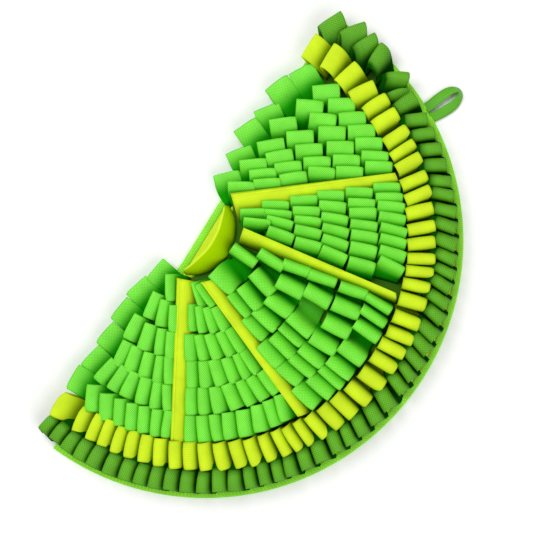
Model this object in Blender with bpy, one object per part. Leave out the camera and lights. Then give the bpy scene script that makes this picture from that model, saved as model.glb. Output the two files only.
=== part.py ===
"""Snuffle mat in the shape of half a citrus slice.

The mat lies flat: its underside is z = 0, and the origin is the centre of the
round edge.  +X runs along the straight edge, +Y points out over that edge and
the round edge bulges toward -Y.

Places on the mat are given as a radius from the origin and a turn, the angle in
degrees from +X toward -Y, so the round edge runs from turn 0 to turn 180.
"""

import math
import random
from collections import namedtuple

import bmesh
import bpy
from mathutils import Vector

MM = 0.001
CLEAR = 0.3                      # gap between pieces that touch, mm

# Base panel and its binding, mm
MAT_RADIUS = 257.0
EDGE_RIGHT_Y = 8.0               # straight edge, right of its kink
EDGE_KINK_X = -30.0
EDGE_LEFT_Y = 21.0               # straight edge at its left corner
ARC_STEPS = 56
PANEL_THICK = 3.5                # flush with the binding
RIM_WIDTH = 6.3                  # how far the binding reaches in over the panel
BINDING_THICK = 1.0
BINDING_CORNER = 0.6             # the binding's folded corners are cut back this far
RIM_LOW = BINDING_THICK + CLEAR  # the panel's rim, between the binding's two leaves
RIM_HIGH = PANEL_THICK - RIM_LOW

# Webbing folded into loops, mm
TAPE_WIDTH = 24.5
TAPE_THICK = 1.1
SEWN_Z = PANEL_THICK + CLEAR
GREEN_HEIGHT = 26.0
RING_HEIGHT = 25.0
USUAL_LEAN = 40.0                # degrees
RING_STRETCH = 0.18              # mm more for each degree of lean past the usual
EDGE_HALF = 4.0                  # half the width of a row's end loop, on its free side
LOOP_SHARE = 0.42                # half a loop's width, as a share of the spacing
WIDEST_HALF = 6.2
MOST_AXIS_STEP = 10.0            # degrees that the tube turns from one loop to the next
SQUARENESS = 0.35                # 1: loop ends cut square, 0: along the row
CREST_SET_BACK = 2.0             # from a loop's crest edge to its middle, at the usual lean
LEAST_HALF = 0.4                 # half the width left inside a crown, at least
CURVE_SAMPLES = 12               # points worked out between two given ones

# A loop's section, from wall to crown: share of half width, share of height
WALL = (1.00, 0.50)
SHOULDER = (0.88, 0.86)
CROWN = (0.42, 1.00)

# Hand work is never even: largest change of each loop
JITTER_SHARE = 0.05              # of the spacing
JITTER_LEAN = 2.5                # degrees
JITTER_AXIS = 1.5                # degrees
JITTER_HEIGHT = 0.9              # mm
SEED = 7

Loop = namedtuple("Loop", "turn radius axis lean flare height")
Loop.__doc__ = "One loop: crest turn, foot radius, direction of its tube, lean, flare, height"
Station = namedtuple("Station", "loop turn radius axis lean flare height")
Bend = namedtuple("Bend", "loop turn skew lean flare")
Row = namedtuple("Row", "name loops first_turn first_radius last_turn last_radius edge")
Edge = namedtuple("Edge", "turn radius axis height")
Edge.__doc__ = "The last loop of a row, which hangs over the straight edge"
Segment = namedtuple("Segment", "name first_axis last_axis first_lean last_lean edge_lean rows")
Divider = namedtuple("Divider", "name inner_radius inner_turn outer_radius outer_turn lean width")
Finish = namedtuple("Finish", "name colour roughness")

WEBBING_GREEN = Finish("green webbing", (0.115, 0.610, 0.036), 0.62)
WEBBING_DARK = Finish("dark green webbing", (0.078, 0.323, 0.018), 0.66)
TAPE_YELLOW = Finish("yellow tape", (0.565, 0.791, 0.008), 0.72)
FABRIC_BASE = Finish("yellow-green base fabric", (0.578, 0.716, 0.045), 0.80)
FABRIC_POCKET = Finish("chartreuse pocket fabric", (0.381, 0.604, 0.006), 0.74)
TAPE_BINDING = Finish("light green binding", (0.270, 0.708, 0.054), 0.60)
TAPE_TAB = Finish("green tab tape", (0.075, 0.456, 0.012), 0.60)

# Rings: stations along the ring, its skew from the radius, and how far it flares out
RIND_LOOPS = 51
RIND_RADIUS = 237.9
RIND = (Bend(0, -1, -8, -44, 9), Bend(3, 12, -6, -30, 7), Bend(7, 28, 10, -10, 3),
        Bend(12, 47, 22, -4, 1), Bend(18, 69, 24, 0, 0), Bend(25, 95, 22, 4, 0),
        Bend(32, 124, 8, 12, 0), Bend(46, 175, 0, 26, 0.4), Bend(50, 188.8, -8, 60, 3))
PITH_LOOPS = 45
PITH_RADIUS = 212.7
PITH = (Bend(0, -2, -12, -46, 6), Bend(3, 18, -10, -26, 4), Bend(9, 43, -8, -8, 1),
        Bend(17, 75, 0, 0, 0), Bend(22, 98, -4, 4, 0), Bend(26, 118, -10, 10, 0),
        Bend(36, 157, -8, 20, 0), Bend(42, 179, -8, 28, 0.4), Bend(44, 188.5, -12, 62, 2))

SEGMENTS = (
    Segment("seg1", 51, 54, -37, -38, -68, (
        Row("row_a", 8, 34.2, 187, 6.5, 187.6, Edge(-2.6, 188, 34, 33)),
        Row("row_b", 7, 31.6, 160, 5.7, 165.5, Edge(-7, 164.2, 28, 33)),
        Row("row_c", 6, 26.6, 134, 0.7, 142, Edge(-8, 141.8, 42, 29)),
        Row("row_d", 5, 21.1, 109.5, 1.8, 117, Edge(-12, 120, 24, 33)),
        Row("row_e", 4, 13.5, 86.8, -1.3, 92, Edge(-13, 94, 40, 28)),
        Row("row_f", 2, 1.0, 60.5, 1.0, 60.5, Edge(-13, 64, 44, 26.5)))),
    Segment("seg2", 57, 79, -36, -27, 0, (
        Row("row_a", 8, 41.0, 186, 65.4, 183, None),
        Row("row_b", 7, 39.7, 159, 66.2, 156, None),
        Row("row_c", 6, 37.0, 133, 63.4, 130, None),
        Row("row_d", 5, 34.2, 107, 59.1, 104, None),
        Row("row_e", 4, 29.3, 82, 51.8, 79, None),
        Row("row_f", 2, 25.1, 56.7, 36.4, 52.5, None))),
    Segment("seg3", 84, 110, 3, 38, 0, (
        Row("row_a", 8, 79.4, 183, 117.7, 185, None),
        Row("row_b", 7, 79.1, 155, 118.6, 157, None),
        Row("row_c", 6, 79.8, 123, 121.0, 130, None),
        Row("row_d", 5, 78.0, 95, 122.1, 101, None),
        Row("row_e", 4, 77.4, 67, 124.4, 74, None),
        Row("row_f", 2, 86.1, 41, 132.3, 48, None))),
    Segment("seg4", 119, 149, 34, 36, 0, (
        Row("row_a", 8, 125.3, 183, 154.6, 186, None),
        Row("row_b", 7, 126.8, 156, 155.3, 159, None),
        Row("row_c", 6, 130.2, 130, 156.2, 133, None),
        Row("row_d", 5, 134.1, 104, 159.1, 107, None),
        Row("row_e", 4, 140.5, 79, 160.6, 81, None),
        Row("row_f", 2, 151.0, 54.5, 159.3, 55.5, None))),
    Segment("seg5", 152, 172, 34, 38, 68, (
        Row("row_a", 8, 161.3, 186, 185.5, 187, Edge(192, 187, 180, 31)),
        Row("row_b", 7, 163.3, 160, 187.2, 160, Edge(193.4, 159, 196, 26)),
        Row("row_c", 6, 165.7, 134, 186.2, 135, Edge(195.5, 133, 188, 29)),
        Row("row_d", 5, 168.7, 109, 188.0, 109, Edge(198.8, 107, 188, 28.5)),
        Row("row_e", 4, 174.0, 84, 189.9, 84, Edge(202.5, 81, 194, 27)),
        Row("row_f", 2, 188.2, 59, 188.2, 59, Edge(209, 56, 174, 26)))),
)

DIVIDERS = (
    Divider("divider_1", 48, 20, 199, 43.3, -32, 7.0),
    Divider("divider_2", 38, 54, 199, 76.2, -10, 7.0),
    Divider("divider_3", 41, 128, 199, 116, 36, 7.0),
    Divider("divider_4", 46, 160, 199, 152.5, 36, 7.0),
)
DIVIDER_HEIGHT = 23.0
DIVIDER_STEPS = 6

# Pocket: seam on the panel and free rim above it, in plan, from right to left, mm
POCKET_SEAM = ((41, -2), (33, -14), (17, -23), (-3, -26), (-21, -21), (-33, -11), (-39, 0))
POCKET_RIM = ((37.5, 0.6), (28, -2), (15, -5), (-3, -7), (-19, -4.5), (-29, -0.5), (-36, 2.4))
POCKET_HEIGHT = 14.0
POCKET_END_HEIGHT = 2.4          # where the rim meets the seam
POCKET_SWELL = 0.8               # below 1, the rim rises sooner from its ends
POCKET_CURL = 1.1                # above 1, the rim draws in over the mouth
POCKET_THICK = 1.5
POCKET_STEPS = 18
POCKET_RISES = 5

# Hanging tab, in the frame of its root on the rim: out from the rim, along it, mm
TAB_TURN = 28.8
TAB_GAP = 0.6                    # from the binding to the tab's root, and below it
TAB_PATH = ((0, -7.0), (8, -8.4), (17, -8.8), (26, -7.8), (32.5, -4.4), (33.6, -0.4),
            (30, 4.2), (21, 7.6), (10, 7.8), (0, 6.6))
TAB_WIDTH = 10.0
TAB_THICK = 1.1
TAB_FLAT_TILT = 32.0             # degrees from flat, along the legs
TAB_TIP_TILT = 78.0              # and where the tape turns back at the tip
TAB_STEPS = 26


def spot(radius, turn, z=0.0):
    """A point from its radius and turn, mm."""
    angle = math.radians(turn)
    return Vector((radius * math.cos(angle), -radius * math.sin(angle), z))


def onward(turn):
    """The unit vector toward a greater turn."""
    angle = math.radians(turn)
    return Vector((-math.sin(angle), -math.cos(angle), 0.0))


def leaned(foot, rise, lean, flare=0.0):
    """Lift a foot point by rise, leaned along its arc round the origin and flared out."""
    angle = math.radians(lean)
    radius = math.hypot(foot.x, foot.y)
    swing = rise * math.sin(angle) / radius
    grow = 1 + flare * rise / RING_HEIGHT / radius
    x = foot.x * math.cos(swing) + foot.y * math.sin(swing)
    y = foot.y * math.cos(swing) - foot.x * math.sin(swing)
    return Vector((x * grow, y * grow, SEWN_Z + rise * math.cos(angle)))


def between(low, high, share):
    return low + (high - low) * share


def curve_through(points, steps):
    """Even steps along a smooth curve through the points."""
    vectors = [Vector(point) for point in points]
    dense = []
    for index in range(len(vectors) - 1):
        before = vectors[max(index - 1, 0)]
        start, end = vectors[index], vectors[index + 1]
        after = vectors[min(index + 2, len(vectors) - 1)]
        for part in range(CURVE_SAMPLES):
            t = part / CURVE_SAMPLES
            dense.append(0.5 * (2 * start + (end - before) * t
                                + (2 * before - 5 * start + 4 * end - after) * t ** 2
                                + (3 * start - before - 3 * end + after) * t ** 3))
    dense.append(vectors[-1])
    lengths = [0.0]
    for index in range(1, len(dense)):
        lengths.append(lengths[-1] + (dense[index] - dense[index - 1]).length)
    result = []
    index = 1
    for step in range(steps + 1):
        target = lengths[-1] * step / steps
        while index < len(dense) - 1 and lengths[index] < target:
            index += 1
        run = lengths[index] - lengths[index - 1]
        share = (target - lengths[index - 1]) / run if run else 0.0
        result.append(dense[index - 1].lerp(dense[index], min(max(share, 0.0), 1.0)))
    return result


def make_material(finish):
    material = bpy.data.materials.get(finish.name)
    if material is None:
        material = bpy.data.materials.new(finish.name)
        material.use_nodes = True
        shader = material.node_tree.nodes["Principled BSDF"]
        shader.inputs["Base Color"].default_value = (*finish.colour, 1.0)
        shader.inputs["Roughness"].default_value = finish.roughness
        shader.inputs["Metallic"].default_value = 0.0
    return material


def add_object(name, bm, finish):
    """Turn a bmesh in mm into an object in metres, its faces pointing out."""
    bmesh.ops.scale(bm, vec=(MM, MM, MM), verts=bm.verts)
    bmesh.ops.recalc_face_normals(bm, faces=bm.faces)
    if bm.calc_volume(signed=True) < 0:
        bmesh.ops.reverse_faces(bm, faces=bm.faces)
    mesh = bpy.data.meshes.new(name)
    bm.to_mesh(mesh)
    bm.free()
    mesh.materials.append(make_material(finish))
    made = bpy.data.objects.new(name, mesh)
    bpy.context.collection.objects.link(made)
    return made


def drawn_across(sections, faces):
    """A solid from its end faces, extruded from each section to the next."""
    bm = bmesh.new()
    order = [bm.verts.new(point) for point in sections[0]]
    ends = [bm.faces.new([order[index] for index in face]) for face in faces]
    first = True
    for section in sections[1:]:
        grown = bmesh.ops.extrude_face_region(bm, geom=ends)["geom"]
        by_place = {tuple(item.co): item for item in grown
                    if isinstance(item, bmesh.types.BMVert)}
        order = [by_place[tuple(vert.co)] for vert in order]
        for vert, point in zip(order, section):
            vert.co = point
        if not first:
            bmesh.ops.delete(bm, geom=[face for face in ends if face.is_valid],
                             context="FACES_ONLY")
        ends = [item for item in grown if isinstance(item, bmesh.types.BMFace)]
        first = False
    return bm


# --- loops of webbing -----------------------------------------------------------

def stations_to_loops(stations, count, dice):
    """Spread loops between the stations, each a little out of line."""
    loops = []
    for index in range(count):
        later = next(k for k in range(1, len(stations)) if stations[k].loop >= index)
        start, end = stations[later - 1], stations[later]
        share = (index - start.loop) / (end.loop - start.loop)
        spacing = (end.turn - start.turn) / (end.loop - start.loop)
        loops.append(Loop(
            between(start.turn, end.turn, share) + spacing * dice.uniform(-1, 1) * JITTER_SHARE,
            between(start.radius, end.radius, share),
            between(start.axis, end.axis, share) + dice.uniform(-1, 1) * JITTER_AXIS,
            between(start.lean, end.lean, share) + dice.uniform(-1, 1) * JITTER_LEAN,
            between(start.flare, end.flare, share),
            between(start.height, end.height, share) + dice.uniform(-1, 1) * JITTER_HEIGHT))
    return loops


def foot_of(loop):
    """Where a loop is sewn: its crest edge, set back to its middle and stood upright."""
    reach = math.sin(math.radians(loop.lean))
    back = CREST_SET_BACK * reach / math.sin(math.radians(USUAL_LEAN))
    swing = loop.height * reach + back
    return spot(loop.radius, loop.turn - math.degrees(swing / loop.radius))


def tube_axis(loop):
    """The unit vector along a loop's tube, out from the middle of the mat."""
    return spot(1.0, loop.axis)


def loop_point(loop, foot, offset, rise, end):
    """A point of one end (-1 inner, 1 outer) of a loop, offset across its tube."""
    turn = math.degrees(math.atan2(-foot.y, foot.x))
    along_row = onward(turn) / math.cos(math.radians(loop.axis - turn))
    across = onward(loop.axis).lerp(along_row, 1 - SQUARENESS)
    plan = foot + tube_axis(loop) * (end * TAPE_WIDTH / 2) + across * offset
    return leaned(plan, rise, loop.lean, loop.flare)


def spacings(loops, feet, end):
    """The least distance from each loop to the next, at their middle or at this end."""
    result = []
    for index in range(len(loops) - 1):
        middle = feet[index + 1] - feet[index]
        apart = tube_axis(loops[index + 1]) - tube_axis(loops[index])
        axis = math.radians((loops[index].axis + loops[index + 1].axis) / 2)
        steps = (middle, middle + apart * (end * TAPE_WIDTH / 2))
        result.append(min(abs(step.x * math.sin(axis) + step.y * math.cos(axis))
                          for step in steps))
    return result


def half_widths(loops, feet, end):
    """Each loop's reach toward the loop before it and the loop after it."""
    gaps = spacings(loops, feet, end)
    halves = [min(WIDEST_HALF, LOOP_SHARE * gap) for gap in gaps]
    before = [min(halves[0], EDGE_HALF)] + halves
    after = halves + [min(halves[-1], EDGE_HALF)]
    return before, after


def looped_section(loops, end):
    """One end of a strip: points on its face and on its back, with the faces between."""
    feet = [foot_of(loop) for loop in loops]
    before, after = half_widths(loops, feet, end)
    points = []
    faces = []

    def add(loop, foot, offset, rise):
        points.append(loop_point(loop, foot, offset, rise, end))
        return len(points) - 1

    valley = add(loops[0], feet[0], -before[0], 0.0)
    last_low = None
    for index, (loop, foot) in enumerate(zip(loops, feet)):
        wall_thick = TAPE_THICK / math.cos(math.radians(loop.lean))
        outside, inside = [], []
        for side, half in ((-1, before[index]), (1, after[index])):
            outer_run, inner_run = [], []
            for share, level in (WALL, SHOULDER, CROWN):
                outer_run.append(add(loop, foot, side * half * share, loop.height * level))
            for share, level in ((1.0, 0.0), SHOULDER, CROWN):
                offset = max(half * share - wall_thick, LEAST_HALF)
                rise = max(loop.height * level - TAPE_THICK, 0.0)
                inner_run.append(add(loop, foot, side * offset, rise))
            outside.append(outer_run)
            inside.append(inner_run)
        for side in (0, 1):
            wall, shoulder, crown = outside[side]
            low, shoulder_in, crown_in = inside[side]
            faces.append((wall, shoulder_in, shoulder))
            faces.append((shoulder, shoulder_in, crown_in, crown))
        faces.append((outside[0][2], inside[0][2], inside[1][2], outside[1][2]))
        faces.append((valley, inside[0][0], inside[0][1], outside[0][0]))
        if last_low is not None:
            faces.append((valley, last_low, inside[0][0]))
        last_low = inside[1][0]
        if index + 1 < len(loops):
            here = loop_point(loop, foot, after[index], TAPE_THICK, end)
            there = loop_point(loops[index + 1], feet[index + 1], -before[index + 1],
                               TAPE_THICK, end)
            points.append((here + there) / 2)
            valley = len(points) - 1
        else:
            valley = add(loop, foot, after[index], 0.0)
        faces.append((valley, outside[1][0], inside[1][1], last_low))
    return points, faces


def make_loops(name, loops, finish):
    inner, faces = looped_section(loops, -1)
    outer, faces = looped_section(loops, 1)
    return add_object(name, drawn_across((inner, outer), faces), finish)


def make_ring(name, bends, count, radius, finish, dice):
    stations = []
    for bend in bends:
        stretch = max(abs(bend.lean) - USUAL_LEAN, 0) * RING_STRETCH
        stations.append(Station(bend.loop, bend.turn, radius, bend.turn + bend.skew,
                                bend.lean, bend.flare, RING_HEIGHT + stretch))
    make_loops(name, stations_to_loops(stations, count, dice), finish)


def make_segment(segment, dice):
    for row in segment.rows:
        last_loop = row.loops - 1
        inner_loops = last_loop - 1 if row.edge else last_loop
        turned = min(segment.last_axis - segment.first_axis, MOST_AXIS_STEP * inner_loops)
        stations = [Station(0, row.first_turn, row.first_radius,
                            segment.first_axis, segment.first_lean, 0, GREEN_HEIGHT)]
        if inner_loops > 0:
            stations.append(Station(inner_loops, row.last_turn, row.last_radius,
                                    segment.first_axis + turned, segment.last_lean, 0,
                                    GREEN_HEIGHT))
        if row.edge:
            stations.append(Station(last_loop, row.edge.turn, row.edge.radius,
                                    row.edge.axis, segment.edge_lean, 0, row.edge.height))
        loops = stations_to_loops(stations, row.loops, dice)
        loops.sort()
        make_loops(segment.name + "_" + row.name, loops, WEBBING_GREEN)


# --- dividers ---------------------------------------------------------------------

def make_divider(divider):
    """A strip folded double along its length and sewn down by its two edges."""
    start = spot(divider.inner_radius, divider.inner_turn)
    end = spot(divider.outer_radius, divider.outer_turn)
    across = onward(math.degrees(math.atan2(start.y - end.y, end.x - start.x)))
    half = divider.width / 2
    wall = TAPE_THICK / math.cos(math.radians(divider.lean))
    outer = [(-half, 0.0)]
    inner = [(wall - half, 0.0)]
    for side in (-1, 1):
        run = (WALL, SHOULDER, CROWN) if side < 0 else (CROWN, SHOULDER, WALL)
        for share, level in run:
            outer.append((side * half * share, DIVIDER_HEIGHT * level))
            inner.append((side * max(half * share - wall, LEAST_HALF),
                          DIVIDER_HEIGHT * level - TAPE_THICK))
    outer.append((half, 0.0))
    inner.append((half - wall, 0.0))
    count = len(outer)
    faces = [(k, k + 1, count + k + 1, count + k) for k in range(count - 1)]
    sections = []
    for step in range(DIVIDER_STEPS + 1):
        foot = start.lerp(end, step / DIVIDER_STEPS)
        sections.append([leaned(foot + across * offset, rise, divider.lean)
                         for offset, rise in outer + inner])
    add_object(divider.name, drawn_across(sections, faces), TAPE_YELLOW)


# --- base panel, binding ------------------------------------------------------------

def outline(inset):
    """The mat's outline, moved in by inset: the arc, then the straight edge."""
    radius = MAT_RADIUS - inset
    slope = math.atan2(EDGE_LEFT_Y - EDGE_RIGHT_Y, MAT_RADIUS + EDGE_KINK_X)
    right_y = EDGE_RIGHT_Y - inset
    kink = Vector((EDGE_KINK_X + inset * math.tan(slope / 2), right_y))
    first = -math.degrees(math.asin(right_y / radius))
    away = Vector((-math.cos(slope), math.sin(slope)))
    along = -kink.dot(away) + math.sqrt(kink.dot(away) ** 2 + radius ** 2 - kink.length_squared)
    corner = kink + away * along
    last = 180 + math.degrees(math.asin(corner.y / radius))
    points = []
    for step in range(ARC_STEPS + 1):
        place = spot(radius, between(first, last, step / ARC_STEPS))
        points.append(Vector((place.x, place.y)))
    points.append(kink)
    return points


def ringed(section, closed):
    """Bands of faces through a section of (inset, z) points, round the outline."""
    bm = bmesh.new()
    rings = []
    for inset, z in section:
        rings.append([bm.verts.new((point.x, point.y, z)) for point in outline(inset)])
    pairs = list(zip(rings, rings[1:] + rings[:1])) if closed else list(zip(rings, rings[1:]))
    for low, high in pairs:
        for index in range(len(low)):
            after = (index + 1) % len(low)
            bm.faces.new((low[index], low[after], high[after], high[index]))
    if not closed:
        bm.faces.new(rings[0])
        bm.faces.new(rings[-1])
    return bm


def make_base_panel():
    step_in = RIM_WIDTH + CLEAR
    rim_out = BINDING_THICK + CLEAR
    section = ((step_in, 0.0), (step_in, RIM_LOW), (rim_out, RIM_LOW), (rim_out, RIM_HIGH),
               (step_in, RIM_HIGH), (step_in, PANEL_THICK))
    add_object("base_panel", ringed(section, closed=False), FABRIC_BASE)


def make_edge_binding():
    low_top = BINDING_THICK
    high_low = PANEL_THICK - BINDING_THICK
    corner = BINDING_CORNER
    section = ((0.0, corner), (corner, 0.0), (RIM_WIDTH, 0.0), (RIM_WIDTH, low_top),
               (BINDING_THICK, low_top), (BINDING_THICK, high_low), (RIM_WIDTH, high_low),
               (RIM_WIDTH, PANEL_THICK), (corner, PANEL_THICK), (0.0, PANEL_THICK - corner))
    add_object("edge_binding", ringed(section, closed=True), TAPE_BINDING)


# --- pocket and tab -------------------------------------------------------------------

def make_pocket():
    """Half-round pouch: one skin from the seam on the panel up to the free rim."""
    seam = curve_through(POCKET_SEAM, POCKET_STEPS)
    rim = curve_through(POCKET_RIM, POCKET_STEPS)
    outer, inner = [], []
    for step in range(POCKET_STEPS + 1):
        across = step / POCKET_STEPS
        swell = math.sin(math.pi * across) ** POCKET_SWELL
        height = between(POCKET_END_HEIGHT, POCKET_HEIGHT, swell)
        inward = (rim[step] - seam[step]).normalized()
        for rise in range(POCKET_RISES + 1):
            share = rise / POCKET_RISES
            angle = share * math.pi / 2
            drawn_in = 1 - max(math.cos(angle), 0.0) ** POCKET_CURL
            plan = seam[step].lerp(rim[step], drawn_in)
            z = SEWN_Z + height * math.sin(angle)
            outer.append(Vector((plan.x, plan.y, z)))
            level = POCKET_THICK * math.cos(angle)
            drop = POCKET_THICK * math.sin(angle)
            inner.append(Vector((plan.x + inward.x * level, plan.y + inward.y * level, z - drop)))
    bm = bmesh.new()
    rows = POCKET_RISES + 1
    skins = [[bm.verts.new(point) for point in skin] for skin in (outer, inner)]
    for skin in skins:
        for step in range(POCKET_STEPS):
            for rise in range(POCKET_RISES):
                a = step * rows + rise
                bm.faces.new((skin[a], skin[a + 1], skin[a + rows + 1], skin[a + rows]))
    rims = [edge for edge in bm.edges if edge.is_boundary]
    bmesh.ops.bridge_loops(bm, edges=rims)
    add_object("pocket", bm, FABRIC_POCKET)


def make_hang_tab():
    """A narrow tape bent into a flat drop, twisting up on its edge at the tip."""
    out = spot(1.0, TAB_TURN)
    along = onward(TAB_TURN)
    root = spot(MAT_RADIUS + TAB_GAP, TAB_TURN)
    path = curve_through(TAB_PATH, TAB_STEPS)
    sections = []
    for step, place in enumerate(path):
        before = path[max(step - 1, 0)]
        after = path[min(step + 1, TAB_STEPS)]
        heading = (out * (after.x - before.x) + along * (after.y - before.y)).normalized()
        side = Vector((heading.y, -heading.x, 0.0))
        share = math.sin(math.pi * step / TAB_STEPS) ** 3
        tilt = math.radians(between(TAB_FLAT_TILT, TAB_TIP_TILT, share))
        width = side * math.cos(tilt) + Vector((0, 0, math.sin(tilt)))
        thick = width.cross(heading)
        half = width * (TAB_WIDTH / 2)
        middle = root + out * place.x + along * place.y
        middle.z = TAB_GAP + abs(half.z) + TAB_THICK / 2
        skin = thick * (TAB_THICK / 2)
        sections.append([middle - half - skin, middle + half - skin,
                         middle + half + skin, middle - half + skin])
    add_object("hang_tab", drawn_across(sections, [(0, 1, 2, 3)]), TAPE_TAB)


def main():
    for item in list(bpy.data.objects):
        bpy.data.objects.remove(item, do_unlink=True)
    dice = random.Random(SEED)
    make_base_panel()
    make_edge_binding()
    make_hang_tab()
    make_pocket()
    make_ring("rind_loops", RIND, RIND_LOOPS, RIND_RADIUS, WEBBING_DARK, dice)
    make_ring("pith_loops", PITH, PITH_LOOPS, PITH_RADIUS, TAPE_YELLOW, dice)
    for divider in DIVIDERS:
        make_divider(divider)
    for segment in SEGMENTS:
        make_segment(segment, dice)


main()
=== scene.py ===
"""Looks of the snuffle mat: folded webbing, dividers, pocket, binding and tab.

Sizes in this file are millimetres unless a property says otherwise.  Places on the
mat are a radius from the centre of the round edge and a turn, the angle in degrees
from +X toward -Y, as in the part's source.
"""

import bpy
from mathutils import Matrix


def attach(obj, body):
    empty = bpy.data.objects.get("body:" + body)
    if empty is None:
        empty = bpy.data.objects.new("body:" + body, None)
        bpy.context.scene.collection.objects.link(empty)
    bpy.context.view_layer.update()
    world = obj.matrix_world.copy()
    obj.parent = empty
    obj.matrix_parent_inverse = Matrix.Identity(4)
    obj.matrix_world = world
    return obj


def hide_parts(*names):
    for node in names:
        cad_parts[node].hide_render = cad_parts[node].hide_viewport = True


bl_info = {
    "name": "Snuffle Mat, Half Citrus Slice",
    "version": (1, 0, 0),
    "blender": (4, 5, 0),
    "location": "View3D > Sidebar > Snuffle Mat",
    "description": "Makes the webbing loops, cloth and finishes of a snuffle mat",
    "category": "Object",
}

import math
import random
from collections import namedtuple

import bmesh
import bpy
from bpy.props import FloatProperty, FloatVectorProperty, IntProperty, PointerProperty
from mathutils import Vector

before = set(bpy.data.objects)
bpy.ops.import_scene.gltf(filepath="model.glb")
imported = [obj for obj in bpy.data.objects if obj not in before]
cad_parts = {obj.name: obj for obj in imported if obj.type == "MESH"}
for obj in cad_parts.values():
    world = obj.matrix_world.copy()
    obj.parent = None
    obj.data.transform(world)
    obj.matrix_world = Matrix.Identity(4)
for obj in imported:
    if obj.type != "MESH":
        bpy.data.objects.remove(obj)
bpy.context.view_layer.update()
BODY = "root"
MM = 0.001
UV_NAME = "flat"
# Painted light: each point of folded cloth holds a share of light, 0 for full painted shade, 1 for
# full colour
LIGHT_SHARE_NAME = "lift"
SHADED_UP_TO = 0.45  # painted light share up to which the cloth is painted in its shade tone
UNSHADED_FROM = 1.0  # and from which it has its full colour
CLOTH_GLOSS = 0.35  # specular level of cloth in the open
WEAVE_STOPS = (0.0, 0.3, 0.85)  # where the weave has its shade, middle and light
PATCH_SIZE, PATCH_SHADES = 22, (0.9, 1.06)  # faint patches of a dyed cloth
FUZZ_SIZE, FUZZ_SHADES = 0.9, (0.95, 1.04)  # and its fuzz of fibres

# The mat's outline, as in the part's source
MAT_RADIUS = 257.0
EDGE_RIGHT_Y = 8.0
EDGE_KINK_X = -30.0
EDGE_LEFT_Y = 21.0
PANEL_THICK = 3.5
SEWN_Z = 3.8  # underside of all that is sewn onto the panel
CLOTH_Z = SEWN_Z + 0.6  # lowest middle line of a cloth that stands there

# How far a loop's end sinks, how near the end that starts, and how many times more
# painted shade than its height alone would give the sunken end gets
Droop = namedtuple("Droop", "depth power shade", defaults=(1,))

# How a loop of webbing stands
USUAL_LEAN = 40.0
LOOP_SHARE = 0.48  # half a loop's width, as a share of the spacing
EDGE_HALF = 4.5  # half an end loop's width, on its free side
HALF_STEPS = 10  # steps from a loop's foot to its crest
LEAN_STEPS = 24  # finer steps, in which the leaning middle is worked out
STEP_CROWDING = 1.8  # above 1, steps gather toward the foot
BOX_POWER = 5.0  # how square the section's shoulders are
SIDE_POWER = 2.2  # how straight its walls are
LEAN_AT_FOOT = 0.7  # share of the lean, and what is added up to the crest
LEAN_GROWTH = 0.6
AXIS_AT_FOOT = 0.45  # share of the skew that the tube already has at its foot
AXIS_GROWTH = 1.5  # above 1, it has all of its skew before the crest
CREST_SET_BACK = 1.8  # from a loop's crest edge, as seen, to its middle
# How the crests sink at their inner and their outer ends
ROW_DROOP = (Droop(0.5, 6), Droop(1.8, 6))
PITH_DROOP = (Droop(3, 3), Droop(1.4, 6))  # the rows press its inner ends down
RIND_DROOP = (Droop(9, 2.5, 4), Droop(1.8, 6))  # the pith presses its inner ends down, and they get extra painted shade for the pith's shadow
FREE_TURN = 24.0  # before this turn the rings' crests stand freer and squarer
LEAST_PRESS = 0.15  # share of the droop that the first of them still have
WAIST = 0.13  # how far the walls draw in half way up
# From CLOSE_GAP between two feet on, light reaches the walls between them, and from
# OPEN_GAP on it is OPEN_LIGHT of what a crest gets
CLOSE_GAP = 18.0
OPEN_GAP = 32.0
OPEN_LIGHT = 0.7

# Unevenness, as in the part's source: each loop differs by up to this much either way
Wobble = namedtuple("Wobble", "inner outer turn droop")
WIDTH_VARIES = 0.10  # of half its width, apart for its inner and outer end
TURN_VARIES = 2.0  # degrees, at its crest
DROOP_VARIES = 0.4  # of its droop
Jitter = namedtuple("Jitter", "radius skew lean height")
RING_JITTER = Jitter(0.7, 2.5, 3, 0.8)
ROW_JITTER = Jitter(0.5, 3, 2.5, 0.9)
RING_SEED, RIND_SEED, PITH_SEED = 11, 12, 13
SEGMENT_SEED = 21
ROW_SEED = 100  # each row's own seed is counted on from here

# press is the share of the droop that the neighbours' pressing brings about
Loop = namedtuple("Loop", "turn radius foot_radius skew lean height press", defaults=(1,))
Bend = namedtuple("Bend", "turn radius skew lean height")
Row = namedtuple("Row", "turns first_radius last_radius first_skew last_skew edge",
                 defaults=(None,))
Segment = namedtuple("Segment", "first_lean last_lean rows")
Divider = namedtuple("Divider", "name inner_crest inner_foot outer_crest outer_foot width")

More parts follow.
